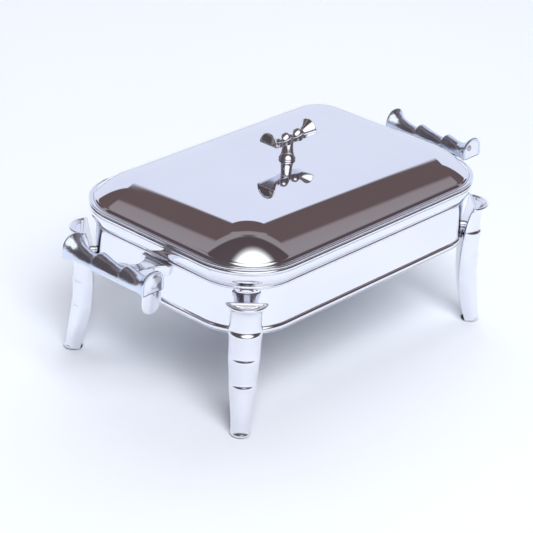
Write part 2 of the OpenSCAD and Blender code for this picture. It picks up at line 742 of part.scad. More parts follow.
// Insulated leads laid on the base plate between the inlet, switch, block and element
module internal_wires() {
  color([0.75, 0.16, 0.1]) for (k = [0:2]) {
    z = base_z + 9 + 3*k;
    y = 114 + 2.6*(k % 2);
    translate([80, y, z]) rotate([0, 90, 0]) cylinder(r = 1.1, h = 20, $fn = 16);
    translate([-48 + 4*k, y, z]) rotate([0, 90, 0]) cylinder(r = 1.1, h = 84, $fn = 16);
  }
}

casing_wall();
top_frame();
base_moulding();
base_plate();
base_screws();
leg_front_left();
leg_front_right();
leg_rear_left();
leg_rear_right();
foot_pads();
corner_plates();
leg_screws();
side_handle_left();
side_handle_right();
handle_bracket_left();
handle_bracket_right();
handle_end_caps();
handle_drop_plate();
end_cap_screws();
backing_plates();
bracket_screws();
bar_screws();
water_pan();
food_pan();
lid_cover();
lid_handle_post();
lid_handle_bar();
lid_handle_screw();
lid_handle_washer();
heating_element();
element_clamps();
heat_spreader();
spreader_posts();
reflector_tray();
insulation_pad();
thermostat_body();
thermostat_shaft();
thermostat_knob();
thermostat_nut();
control_cup();
sensor_bulb();
thermal_cutout();
terminal_block();
power_inlet();
inlet_screws();
switch_housing();
switch_rocker();
rocker_pin();
pilot_lamp();
internal_wires();
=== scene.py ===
import math

import bmesh
import bpy
from mathutils import Matrix, Vector


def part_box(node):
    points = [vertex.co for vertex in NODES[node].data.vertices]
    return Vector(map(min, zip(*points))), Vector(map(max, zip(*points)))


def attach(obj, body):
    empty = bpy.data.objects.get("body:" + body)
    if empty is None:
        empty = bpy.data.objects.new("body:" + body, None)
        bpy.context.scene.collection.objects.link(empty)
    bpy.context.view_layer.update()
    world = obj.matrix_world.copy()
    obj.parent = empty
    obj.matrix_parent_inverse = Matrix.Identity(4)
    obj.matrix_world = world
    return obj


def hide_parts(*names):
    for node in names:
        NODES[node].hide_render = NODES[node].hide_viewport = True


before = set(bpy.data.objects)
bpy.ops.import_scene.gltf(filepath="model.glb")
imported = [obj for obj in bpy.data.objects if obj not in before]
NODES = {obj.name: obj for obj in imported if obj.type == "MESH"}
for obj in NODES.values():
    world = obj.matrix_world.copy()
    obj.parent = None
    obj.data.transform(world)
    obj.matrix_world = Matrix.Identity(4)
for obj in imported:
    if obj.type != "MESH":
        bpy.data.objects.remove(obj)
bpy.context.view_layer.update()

MM = 0.001


def at(node, end, axis):
    """One coordinate of a CAD node's box, in millimetres: end 0 is the low side."""
    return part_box(node)[end][axis] / MM


# The frame gives every place. All lengths below are millimetres.
CORNER = 61.0
HALF_L = at("casing_wall", 1, 0)
HALF_W = at("casing_wall", 1, 1)
CX, CY = HALF_L - CORNER, HALF_W - CORNER
WALL_Z = at("casing_wall", 0, 2)
RIM_Z = at("casing_wall", 1, 2)
BASE_Z = at("base_moulding", 0, 2)
LID_Z = at("lid_handle_post", 0, 2)
EDGE_Z = RIM_Z + 25.2      # underside of the lid's edge bead
BAR_Z = at("side_handle_left", 0, 2)
BAR_X = (at("side_handle_right", 0, 0) + at("side_handle_right", 1, 0)) / 2
BAR_Y = at("side_handle_left", 1, 1)
LIDBAR_Z = at("lid_handle_bar", 0, 2)
LIDBAR_X = at("lid_handle_bar", 1, 0)


# ---------------------------------------------------------------- materials

def new_material(name):
    m = bpy.data.materials.new(name)
    m.use_nodes = True
    nt = m.node_tree
    return m, nt, nt.nodes["Principled BSDF"]


def noise(nt, scale, detail=3.0, rough=0.55, coords=None, stretch=(1, 1, 1)):
    """A noise texture in object space, as its factor socket."""
    if coords is None:
        coords = nt.nodes.new("ShaderNodeTexCoord").outputs["Object"]
    mp = nt.nodes.new("ShaderNodeMapping")
    mp.inputs["Scale"].default_value = stretch
    nt.links.new(coords, mp.inputs["Vector"])
    n = nt.nodes.new("ShaderNodeTexNoise")
    n.inputs["Scale"].default_value = scale
    n.inputs["Detail"].default_value = detail
    n.inputs["Roughness"].default_value = rough
    nt.links.new(mp.outputs["Vector"], n.inputs["Vector"])
    return n.outputs["Fac"]


def ramp(nt, fac, stops):
    r = nt.nodes.new("ShaderNodeValToRGB")
    e = r.color_ramp.elements
    while len(e) < len(stops):
        e.new(0.5)
    for el, (pos, col) in zip(e, stops):
        el.position = pos
        el.color = (*col, 1) if len(col) == 3 else col
    nt.links.new(fac, r.inputs["Fac"])
    return r.outputs["Color"]


def spread(nt, fac, lo, hi):
    """Maps a factor onto a range."""
    r = nt.nodes.new("ShaderNodeMapRange")
    r.inputs["To Min"].default_value = lo
    r.inputs["To Max"].default_value = hi
    nt.links.new(fac, r.inputs["Value"])
    return r.outputs["Result"]


def bump(nt, bsdf, height, strength, distance, under=None):
    b = nt.nodes.new("ShaderNodeBump")
    b.inputs["Strength"].default_value = strength
    b.inputs["Distance"].default_value = distance
    nt.links.new(height, b.inputs["Height"])
    if under is not None:
        nt.links.new(under, b.inputs["Normal"])
    nt.links.new(b.outputs["Normal"], bsdf.inputs["Normal"])
    return b.outputs["Normal"]


def metal(name, tint, dark_tint, rough, wave=0.0, grain=0.0, grain_stretch=(1, 1, 1),
          grain_scale=900):
    """Steel and its kin: a tint that drifts a little, a roughness with fine wipe marks, a slow
    pressed-sheet waviness and, if asked, a directional brushed grain."""
    m, nt, b = new_material(name)
    b.inputs["Metallic"].default_value = 1.0
    col = ramp(nt, noise(nt, 9, 4), [(0.3, dark_tint), (0.7, tint)])
    nt.links.new(col, b.inputs["Base Color"])
    wipe = noise(nt, 26, 6, 0.7, stretch=(1, 1, 2.2))
    nt.links.new(spread(nt, wipe, rough[0], rough[1]), b.inputs["Roughness"])
    last = None
    if wave:
        last = bump(nt, b, noise(nt, 11, 1.5, 0.4), 1.0, wave)
    if grain:
        bump(nt, b, noise(nt, grain_scale, 2, 0.5, stretch=grain_stretch), 1.0, grain, last)
    return m


def plastic(name, col, col2, rough, grain, scale=1400, coat=0.0):
    """Moulded or glazed parts: a mottled colour, a fine pebbled grain and, if asked, a clear coat."""
    m, nt, b = new_material(name)
    c = ramp(nt, noise(nt, 40, 4), [(0.35, col2), (0.65, col)])
    nt.links.new(c, b.inputs["Base Color"])
    nt.links.new(spread(nt, noise(nt, 120, 3), rough[0], rough[1]), b.inputs["Roughness"])
    bump(nt, b, noise(nt, scale, 2), 0.6, grain)
    b.inputs["Coat Weight"].default_value = coat
    b.inputs["Coat Roughness"].default_value = 0.12
    return m


MIRROR = metal("mirror_steel", (0.87, 0.88, 0.93), (0.84, 0.85, 0.90), (0.018, 0.05), wave=0.00006)
CAST = metal("cast_mirror", (0.87, 0.88, 0.93), (0.82, 0.83, 0.88), (0.10, 0.19), wave=0.00009)
BAR_CAST = metal("drawn_cast", (0.80, 0.86, 0.97), (0.62, 0.68, 0.80), (0.17, 0.30), wave=0.00009,
                 grain=0.00045, grain_stretch=(1, 0.16, 1), grain_scale=210)
SATIN = metal("satin_pan", (0.74, 0.74, 0.76), (0.68, 0.68, 0.70), (0.24, 0.34), wave=0.00004,
              grain=0.00002, grain_stretch=(1, 26, 26))
PLAIN = metal("plain_steel", (0.62, 0.62, 0.64), (0.54, 0.54, 0.56), (0.30, 0.44),
              grain=0.00002)
ALU = metal("mill_aluminium", (0.78, 0.79, 0.81), (0.70, 0.71, 0.73), (0.32, 0.48), grain=0.00002,
            grain_stretch=(30, 1, 1))
SHEATH = metal("element_sheath", (0.30, 0.27, 0.25), (0.16, 0.14, 0.13), (0.42, 0.62),
               grain=0.00003)
BRASS = metal("turned_brass", (0.78, 0.61, 0.33), (0.66, 0.50, 0.25), (0.20, 0.34), grain=0.00002)
RUBBER = plastic("foot_rubber", (0.035, 0.035, 0.037), (0.02, 0.02, 0.022), (0.62, 0.8), 0.00006)
BLACK = plastic("moulded_black", (0.030, 0.031, 0.034), (0.018, 0.018, 0.02), (0.34, 0.5), 0.00004)
CERAMIC = plastic("glazed_ceramic", (0.86, 0.83, 0.76), (0.80, 0.77, 0.70), (0.22, 0.32), 0.00003,
                  coat=0.5)
WOOL = plastic("mineral_wool", (0.80, 0.74, 0.58), (0.62, 0.56, 0.42), (0.85, 0.98), 0.0006,
               scale=420)
LENS = plastic("red_lens", (0.60, 0.03, 0.02), (0.45, 0.02, 0.015), (0.08, 0.14), 0.00001,
               coat=1.0)
SLEEVE = plastic("silicone_sleeve", (0.58, 0.10, 0.06), (0.46, 0.07, 0.045), (0.45, 0.6), 0.00003)

CARRIED = {
    PLAIN: ["base_plate", "base_screws", "corner_plates", "leg_screws", "backing_plates",
            "bracket_screws", "bar_screws", "element_clamps", "spreader_posts", "rocker_pin",
            "lid_handle_screw"],
    CAST: ["control_cup", "inlet_screws"],
    ALU: ["heat_spreader", "reflector_tray"],
    SHEATH: ["heating_element"],
    BRASS: ["thermostat_nut", "thermostat_shaft", "sensor_bulb"],
    RUBBER: ["lid_handle_washer"],
    BLACK: ["power_inlet", "switch_housing", "switch_rocker", "thermal_cutout"],
    CERAMIC: ["thermostat_body", "terminal_block"],
    WOOL: ["insulation_pad"],
    LENS: ["pilot_lamp"],
    SLEEVE: ["internal_wires"],
}
for mat, names in CARRIED.items():
    for n in names:
        NODES[n].data.materials.clear()
        NODES[n].data.materials.append(mat)


# ---------------------------------------------------------------- mesh tools

def make(name, verts, faces, mat, body, nodes=(), slot="polished_steel", sharp=35, weighted=False):
    """A mesh object from points in millimetres, shaded smooth but for edges sharper than sharp."""
    me = bpy.data.meshes.new(name)
    me.from_pydata([(x * MM, y * MM, z * MM) for x, y, z in verts], [], faces)
    bm = bmesh.new()
    bm.from_mesh(me)
    bmesh.ops.remove_doubles(bm, verts=bm.verts, dist=1e-7)
    bmesh.ops.recalc_face_normals(bm, faces=bm.faces)
    bm.to_mesh(me)
    bm.free()
    for p in me.polygons:
        p.use_smooth = True
    me.set_sharp_from_angle(angle=math.radians(sharp))
    me.materials.append(mat)
    ob = bpy.data.objects.new(name, me)
    bpy.context.scene.collection.objects.link(ob)
    if weighted:
        w = ob.modifiers.new("flat_first", "WEIGHTED_NORMAL")
        w.keep_sharp = True
        w.weight = 100
    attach(ob, body)
    if nodes:
        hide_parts(*nodes)
    return ob


def joined(*parts):
    """Several (verts, faces) pairs as one."""
    vs, fs = [], []
    for v, f in parts:
        fs += [tuple(i + len(vs) for i in q) for q in f]
        vs += v
    return vs, fs


def loft(rings, caps=(True, True), loop=False):
    """Quads between closed rings of equally many points, with flat caps."""
    n = len(rings[0])
    vs = [p for r in rings for p in r]
    fs = []
    for i in range(len(rings) if loop else len(rings) - 1):
        a, b = i * n, (i + 1) % len(rings) * n
        fs += [(a + j, a + (j + 1) % n, b + (j + 1) % n, b + j) for j in range(n)]
    if not loop and caps[0]:
        fs.append(tuple(range(n))[::-1])
    if not loop and caps[1]:
        fs.append(tuple(range((len(rings) - 1) * n, len(rings) * n)))
    return vs, fs


def arc(cx, cy, r, a0, a1, n=8):
    """Points on an arc, degrees from +x towards +y."""
    return [(cx + r * math.cos(math.radians(a0 + (a1 - a0) * i / n)),
             cy + r * math.sin(math.radians(a0 + (a1 - a0) * i / n))) for i in range(n + 1)]


def round_path(seg=30, straight=5):
    """Corner centre and outward direction at each step round the casing, as (x, y, dx, dy)."""
    out = []
    corners = [(CX, CY), (-CX, CY), (-CX, -CY), (CX, -CY)]
    for k, c in enumerate(corners):
        for i in range(seg + 1):
            a = math.radians(90 * k + 90 * i / seg)
            out.append((c[0], c[1], math.cos(a), math.sin(a)))
        d = corners[(k + 1) % 4]
        a = math.radians(90 * (k + 1))
        for i in range(1, straight):
            u = i / straight
            out.append((c[0] + (d[0] - c[0]) * u, c[1] + (d[1] - c[1]) * u, math.cos(a), math.sin(a)))
    return out


PATH = round_path()


def around(profile, closed=True, caps=False):
    """Sweeps (outward offset from the wall, height) points round the casing."""
    rings = [[(cx + (CORNER + o) * dx, cy + (CORNER + o) * dy, z) for cx, cy, dx, dy in PATH]
             for o, z in profile]
    return loft(rings, caps=(caps, caps), loop=closed)


def smooth_table(rows, step):
    """Rows of (t, a, b, ...) resampled along t with monotone cubic slopes."""
    ts = [r[0] for r in rows]
    cols = list(zip(*[r[1:] for r in rows]))

    def slopes(ys):
        d = [(ys[i + 1] - ys[i]) / (ts[i + 1] - ts[i]) for i in range(len(ts) - 1)]
        m = [d[0]]
        for i in range(1, len(d)):
            m.append(0.0 if d[i - 1] * d[i] <= 0 else 2 * d[i - 1] * d[i] / (d[i - 1] + d[i]))
        return m + [d[-1]]

    ms = [slopes(c) for c in cols]
    out = []
    for i in range(len(ts) - 1):
        h = ts[i + 1] - ts[i]
        n = max(1, math.ceil(abs(h) / step))
        for j in range(n):
            u = j / n
            row = [ts[i] + h * u]
            for c, m in zip(cols, ms):
                row.append((2 * u**3 - 3 * u**2 + 1) * c[i] + (u**3 - 2 * u**2 + u) * h * m[i]
                           + (-2 * u**3 + 3 * u**2) * c[i + 1] + (u**3 - u**2) * h * m[i + 1])
            out.append(tuple(row))
    out.append(tuple([ts[-1]] + [c[-1] for c in cols]))
    return out


def circle(r, n, z=0.0):
    """Points round a circle about +Z."""
    return [(r * math.cos(2 * math.pi * k / n), r * math.sin(2 * math.pi * k / n), z) for k in range(n)]


def lathe(profile, n=64):
    """Turns (radius, height) points about +Z."""
    return loft([circle(r, n, z) for r, z in profile])


def moved(part, matrix):
    v, f = part
    return [tuple(matrix @ Vector(p)) for p in v], f


def cut(ob, cutters):
    """Takes closed meshes away from ob and keeps the result as its mesh."""
    for v, f in cutters:
        me = bpy.data.meshes.new("cutter")
        me.from_pydata([(x * MM, y * MM, z * MM) for x, y, z in v], [], f)
        bm = bmesh.new()
        bm.from_mesh(me)
        bmesh.ops.recalc_face_normals(bm, faces=bm.faces)
        bm.to_mesh(me)
        bm.free()
        tool = bpy.data.objects.new("cutter", me)
        bpy.context.scene.collection.objects.link(tool)
        mod = ob.modifiers.new("cut", "BOOLEAN")
        mod.operation, mod.object, mod.solver = "DIFFERENCE", tool, "EXACT"
        dg = bpy.context.evaluated_depsgraph_get()
        done = bpy.data.meshes.new_from_object(ob.evaluated_get(dg))
        ob.modifiers.clear()
        ob.data = done
        bpy.data.objects.remove(tool)


def box_part(lo, hi):
    vs = [(x, y, z) for x in (lo[0], hi[0]) for y in (lo[1], hi[1]) for z in (lo[2], hi[2])]
    fs = [(0, 1, 3, 2), (4, 6, 7, 5), (0, 4, 5, 1), (2, 3, 7, 6), (0, 2, 6, 4), (1, 5, 7, 3)]
    return vs, fs


def rod_part(r, x, y0, y1, z, n=48):
    """A closed cylinder along Y."""
    return loft([[(x + a, y, z + b) for a, b, _ in circle(r, n)] for y in (y0, y1)])


# ---------------------------------------------------------------- casing

SHEET = 1.2                # thickness of the wall and of the lid


def middle(node, axis):
    """Where the middle of a CAD node's box lies on one axis, in millimetres."""
    return (at(node, 0, axis) + at(node, 1, axis)) / 2


wall_profile = [(0, WALL_Z), (0, RIM_Z - 0.3), (-0.3, RIM_Z), (-SHEET, RIM_Z), (-SHEET, WALL_Z)]
wall = make("casing_sheet", *around(wall_profile), MIRROR, "server", ["casing_wall"])
ctl_z = middle("control_cup", 2)
cup_x = middle("control_cup", 0)
IN, OUT = HALF_W - 4, HALF_W + 4      # a cutter reaches this far through the rear wall


def window(x, half_x, half_z):
    """A box that cuts a rectangular opening in the rear wall at the controls' height."""
    return box_part((x - half_x, IN, ctl_z - half_z), (x + half_x, OUT, ctl_z + half_z))


cut(wall, [
    rod_part(20, cup_x, IN, OUT, ctl_z),
    rod_part(4.7, middle("pilot_lamp", 0), IN, OUT, ctl_z),
    window(middle("switch_housing", 0), 10.6, 7.1),
    window(middle("power_inlet", 0), 13.7, 10.2),
])
wall.data.set_sharp_from_angle(angle=math.radians(35))

# From the small lower bead up the cushion band to the top bead, then the ledge that turns inwards
r = RIM_Z
rim = ([(-1.3, r - 2.8), (-1.3, r + 0.9)] + arc(0.3, r + 2.3, 1.5, 222, 415, 14)
       + [(0.62, r + 4.0), (0.9, r + 4.25)] + arc(-12.35, r + 18.4, 20, -44.2, 2.6, 26)
       + [(7.2, r + 19.62), (6.9, r + 19.75)] + arc(5.9, r + 22, 2.6, -58, 162, 18)
       + [(3.2, r + 22.4), (-26.5, r + 22.4), (-26.9, r + 22.15), (-27, r + 21.7), (-26.9, r + 21.25),
          (-26.5, r + 21), (-3.2, r + 21), (-2.6, r + 20.4), (-2.6, r - 2.8), (-2.3, r - 3), (-1.6, r - 3)])
make("upper_frame", *around(rim), MIRROR, "server", ["top_frame"], sharp=50)

# A foot lip with a bead that rolls over the bottom edge of the wall
b = BASE_Z
lower = ([(-9.9, b), (1.2, b)] + arc(1.2, b + 0.65, 0.65, -80, 60, 6)
         + [(1.05, b + 1.45), (1.1, b + 1.75)] + arc(-1.1, b + 4, 3.7, -36, 72, 16)
         + [(0.02, b + 7.55), (-0.1, b + 7.5), (-0.1, b + 2.4), (-9.9, b + 2.4)])
make("lower_moulding", *around(lower), MIRROR, "server", ["base_moulding"], sharp=50)


# ---------------------------------------------------------------- lid

FLAT = 1.5 - CORNER                   # where the flat top ends, from the wall
CROWN_R, CROWN_Z = 73, LID_Z - 73     # the wide round shoulder, with its centre's height
EDGE_R, EDGE_X, EDGE_CZ = 8, FLAT + 55, LID_Z - 33     # the tight round edge, with its centre
SLOPE_R = 111                         # the slope between them bulges a little
INNER_TURN = math.degrees(math.atan2(0.8, 0.6))        # inside, the slope is straight
e = EDGE_Z
outer = (arc(FLAT, CROWN_Z, CROWN_R, 90, 64, 20)
         + arc(FLAT - 16.7, CROWN_Z - 34.2, SLOPE_R, 64, 46, 20)[1:]
         + arc(EDGE_X, EDGE_CZ, EDGE_R, 46, 3, 16)[1:]
         + [(3.45, e + 1.7), (3.75, e + 1.25), (4.3, e + 1.02), (5.3, e + 1.0)]
         + arc(7, e + 1.2, 1.3, 172, -128, 16))
under = ([(5.6, e), (3.9, e), (3.42, e - 0.3), (3.4, e - 1.3), (3.1, e - 1.6), (2.5, e - 1.6),
          (2.2, e - 1.3)]
         + arc(EDGE_X, EDGE_CZ, EDGE_R - SHEET, 3, INNER_TURN, 10)
         + arc(FLAT, CROWN_Z, CROWN_R - SHEET, INNER_TURN, 90, 16))
make("lid_shell", *around(outer + under, closed=False, caps=True), MIRROR, "lid", ["lid_cover"],
     sharp=50, weighted=True)

post_h = LIDBAR_Z - LID_Z
post = smooth_table([(0, 9.5), (0.5, 9.8), (1.6, 9.9), (2.6, 9.6), (4, 8.7), (6, 7.7), (8.5, 7.05),
                     (11.5, 6.65), (14.5, 6.4), (17.5, 6.35), (post_h, 6.6), (post_h + 2.5, 7.0)], 0.5)
v, f = lathe([(rr, z) for z, rr in post], 72)
make("lid_post", [(x, y, z + LID_Z) for x, y, z in v], f, CAST, "lid", ["lid_handle_post"])


def arch(cx, half, floor, top, n=36, fillet=0.5):
    """A D-shaped outline in a plane: flat below, round above, as (across, height) points."""
    c = max(floor + 0.02, top - half)
    pts = [(cx + half * math.cos(math.radians(a)), c + (top - c) * math.sin(math.radians(a)))
           for a in [180 * i / n for i in range(n + 1)]]
    soft = fillet * 0.3
    pts += [(cx - half, floor + fillet), (cx - half + soft, floor + soft), (cx - half + fillet, floor)]
    pts += [(cx - half + fillet + (2 * half - 2 * fillet) * i / 6, floor) for i in range(1, 6)]
    pts += [(cx + half - fillet, floor), (cx + half - soft, floor + soft), (cx + half, floor + fillet)]
    return pts


def lid_bar_section(x):
    """Half width, underside and top of the lid's bar at x, above its lowest point."""
    s = abs(x)
    low = (s - 16.5) ** 1.35 * 0.125 if s > 16.5 else 0.0
    half, top = 4.9, 9.3
    for knot in (-4.5, 14.5):
        u = abs(x - knot) / 8.2
        if u < 1:
            k = (0.5 + 0.5 * math.cos(math.pi * u)) ** 0.85
            half = max(half, 4.9 + 2.1 * k)
            top = max(top, 9.3 + 4.0 * k)
    if s > 13:
        u = min(1.0, (s - 13) / (LIDBAR_X - 13 - 1.2))
        half = max(half, 4.9 + 8.1 * u ** 1.9)
        top = max(top, 9.3 + 10.2 * u ** 1.7)
    return half, low, top


rings = []
for x in [-LIDBAR_X + (2 * LIDBAR_X) * i / 120 for i in range(121)]:
    half, low, top = lid_bar_section(x)
    lip = max(0.0, 0.7 - (LIDBAR_X - abs(x))) * 0.8
    rings.append([(x, y, z + LIDBAR_Z) for y, z in arch(0, half - lip, low + lip * 0.5, top - lip)])
dish = []
half, low, top = lid_bar_section(LIDBAR_X)
for inset, depth in [(1.2, 0.0), (1.6, 0.35), (2.2, 0.5)]:
    dish.append([(LIDBAR_X - depth, y, z + LIDBAR_Z)
                 for y, z in arch(0, half - 0.56 - inset, low + 0.28 + inset, top - 0.56 - inset)])
rings = [[(-x, y, z) for x, y, z in rg] for rg in reversed(dish)] + rings + dish
make("lid_bar", *loft(rings), CAST, "lid", ["lid_handle_bar"], sharp=55)


# ---------------------------------------------------------------- legs

# Height, half width and distance of the front from the corner's centre, then the body
LEG = [
    (1.45, 10.6, 93.6), (2.2, 11.2, 94.2), (3.6, 11.4, 94.3), (5.2, 11.1, 93.6), (8, 10.9, 92.7),
    (12, 11.1, 91.9), (18, 11.5, 91.2), (26, 12.2, 90.2), (35, 13.1, 88.9), (43, 13.9, 87.9),
    (49, 14.6, 87.2), (53.5, 15.1, 86.9), (55.6, 15.3, 86.9), (57.0, 15.3, 86.6), (58.6, 15.2, 85.9),
    (61, 15.3, 85.5), (68, 15.9, 85.4), (76, 16.6, 85.4), (82, 17.1, 85.6), (85.6, 17.4, 85.8),
    (87.2, 17.4, 85.6), (89.2, 17.2, 84.8), (92, 17.2, 84.5), (100, 17.5, 84.6), (108, 17.8, 85.0),
    (113.6, 18.3, 85.7), (115.8, 18.5, 85.9), (117.4, 18.4, 85.4), (119.6, 18.0, 83.9),
    (122, 17.6, 83.3), (128, 17.2, 83.5), (135, 17.1, 84.0), (140.5, 17.5, 84.6), (143.6, 18.2, 85.5),
    (146, 19.6, 87.0), (147.6, 21.2, 88.7), (148.6, 22.4, 89.9), (149.5, 22.95, 90.4),
    (150.5, 22.95, 90.4), (151.3, 22.4, 89.9),
]
LEG_LIP = 151.6                       # height of the flared lip in the table
LEG_TOP = at("leg_front_left", 1, 2)
leg_scale = LEG_TOP / LEG_LIP
BACK_R, BACK_Z, BACK_S = 243.0, 84 * leg_scale, CORNER + 0.9


def leg_outline(z, half, front, inset=0.0, n=30):
    """Points round a leg at one height, as (outward, sideways)."""
    back = BACK_S + BACK_R - math.sqrt(BACK_R ** 2 - (z - BACK_Z) ** 2) + inset
    w = half - inset
    c = front - half
    a0 = 90.0 if c >= back + 1 else math.degrees(math.acos(max(-1, min(1, (back + 1 - c) / w))))
    side = w * math.sin(math.radians(a0))
    pts = [(back, side - 1.0), (back + 0.3, side - 0.3), (back + 1.0, side)]
    pts += arc(c, 0, w, a0, -a0, n)
    pts += [(back + 1.0, -side), (back + 0.3, 0.3 - side), (back, 1.0 - side)]
    pts += [(back, (1.0 - side) + (2 * side - 2) * i / 6) for i in range(1, 6)]
    return pts


def leg_rings():
    rows = smooth_table(LEG, 1.0)
    out = [[(s, y, z * leg_scale) for s, y in leg_outline(z * leg_scale, w, fr)] for z, w, fr in rows]
    w, fr = LEG[-1][1], LEG[-1][2]
    for inset, z in [(0.9, LEG_LIP), (2.2, LEG_LIP), (2.9, 151.25), (3.3, 150.6), (3.9, 150.35),
                     (5.6, 150.35), (6.1, 150.1), (6.5, 149.2), (7.0, 148.9)]:
        out.append([(s, y, z * leg_scale) for s, y in leg_outline(z * leg_scale, w, fr, inset)])
    first = out[0]
    mid = sum(p[0] for p in first) / len(first)
    inner = [(mid + (s - mid) * 0.93, y * 0.93, z - 0.05) for s, y, z in first]
    return [inner] + out


def corner_frame(sx, sy):
    """From a corner's centre, +X pointing out over the leg."""
    return Matrix.Translation((sx * CX, sy * CY, 0)) @ Matrix.Rotation(math.atan2(sy, sx), 4, "Z")


LEG_MESH = loft(leg_rings())
BOSS_R, BOSS_Z = 4.5, BASE_Z + 13.4
for name, sx, sy in (("leg_front_left", -1, -1), ("leg_front_right", 1, -1),
                     ("leg_rear_left", -1, 1), ("leg_rear_right", 1, 1)):
    boss = loft([[(CORNER + 0.1 + d, y, BOSS_Z + z) for y, z, _ in circle(BOSS_R, 32)] for d in (0, 6)])
    make(name.replace("leg_", "bamboo_leg_"), *moved(joined(LEG_MESH, boss), corner_frame(sx, sy)),
         CAST, "server", [name], sharp=50)

PAD = lathe([(8.6, 0), (9.2, 0.25), (9.4, 0.7), (9.4, 1.4), (4, 1.42), (4, 7.6), (3.6, 8)], 48)
PAD_OUT = 82.6                        # from the corner's centre to the middle of a foot
pad_parts = []
for sx in (-1, 1):
    for sy in (-1, 1):
        pad_parts.append(moved(PAD, corner_frame(sx, sy) @ Matrix.Translation((PAD_OUT, 0, 0))))
make("foot_pad_set", *joined(*pad_parts), RUBBER, "server", ["foot_pads"], slot="black_rubber")


# ---------------------------------------------------------------- side handles

# Place along the bar as a share of its half length, half width and height above the flat underside
BAR = [
    (-1.0, 15.0, 23.9), (-0.992, 15.6, 24.5), (-0.968, 15.6, 24.5), (-0.955, 14.9, 23.4),
    (-0.93, 13.9, 21.6), (-0.88, 12.6, 18.8), (-0.82, 11.6, 16.2), (-0.75, 10.9, 13.9),
    (-0.66, 10.6, 13.0), (-0.56, 11.0, 13.6), (-0.46, 11.8, 15.0), (-0.38, 12.6, 16.2),
    (-0.35, 12.8, 16.5), (-0.333, 12.5, 16.0), (-0.318, 10.6, 12.6), (-0.300, 9.8, 11.1),
    (-0.26, 9.6, 10.7), (-0.12, 9.8, 11.3), (0.06, 10.7, 13.2), (0.22, 12.0, 15.4),
    (0.29, 12.7, 16.4), (0.315, 12.8, 16.5), (0.333, 12.5, 16.0), (0.348, 10.7, 12.8),
    (0.366, 9.9, 11.2), (0.41, 9.6, 10.8), (0.55, 9.9, 11.6), (0.70, 10.7, 13.4),
    (0.80, 11.4, 15.6), (0.87, 12.4, 18.4), (0.93, 13.8, 21.4), (0.955, 14.8, 23.3),
    (0.968, 15.6, 24.5), (0.992, 15.6, 24.5), (1.0, 15.0, 23.9),
]
END_HALF, END_TOP = BAR[0][1], BAR[0][2]


def bar_rings():
    rows = smooth_table([(tt * BAR_Y, w, hh) for tt, w, hh in BAR], 0.9)
    return [[(x, y, z + BAR_Z) for x, z in arch(0, w, 0, hh)] for y, w, hh in rows]


def end_dish(sign):
    """The recess at a flared end, seen behind the end plate."""
    out = []
    for inset, depth in [(1.4, 0.0), (1.9, 0.5), (2.3, 2.6)]:
        out.append([(x, sign * (BAR_Y - depth), z + BAR_Z)
                    for x, z in arch(0, END_HALF - inset, 0, END_TOP - inset)])
    return out


bar_mesh = loft([*reversed(end_dish(-1)), *bar_rings(), *end_dish(1)])


def oval(y, half, top, bottom, n=40):
    """Upright stadium outline at one y, as points."""
    pts = []
    for k in range(2 * n):
        a = 2 * math.pi * (k + 0.5) / (2 * n)
        centre = top - half if math.sin(a) >= 0 else bottom + half
        pts.append((half * math.cos(a), y, centre + half * math.sin(a)))
    return pts


plate_lo, plate_hi = at("handle_drop_plate", 0, 2), at("handle_drop_plate", 1, 2)


def end_plate(sign, drop):
    """Arched plate that closes a flared end; the drop plate hangs on below it as an oval."""
    y1 = sign * (BAR_Y - 0.75)
    y0 = sign * (BAR_Y - 3.3)
    h = 12.9                          # half width of the oval
    plate = ([], [])
    if drop:
        plate = loft([oval(y0, h, plate_hi, plate_lo), oval(y1 - sign * 0.5, h, plate_hi, plate_lo),
                      oval(y1 - sign * 0.12, h - 0.15, plate_hi - 0.15, plate_lo + 0.15),
                      oval(y1, h - 0.5, plate_hi - 0.5, plate_lo + 0.5)])
    cover = []
    for inset, y in [(0, y0 + sign * 0.4), (0, y1 + sign * 0.15), (0.1, y1 + sign * 0.32),
                     (0.4, y1 + sign * 0.4)]:
        outline = arch(0, 12.8 - inset, 0.25 + inset, 21.7 - inset, fillet=0.4)
        cover.append([(x, y, z + BAR_Z) for x, z in outline])
    return joined(plate, loft(cover))


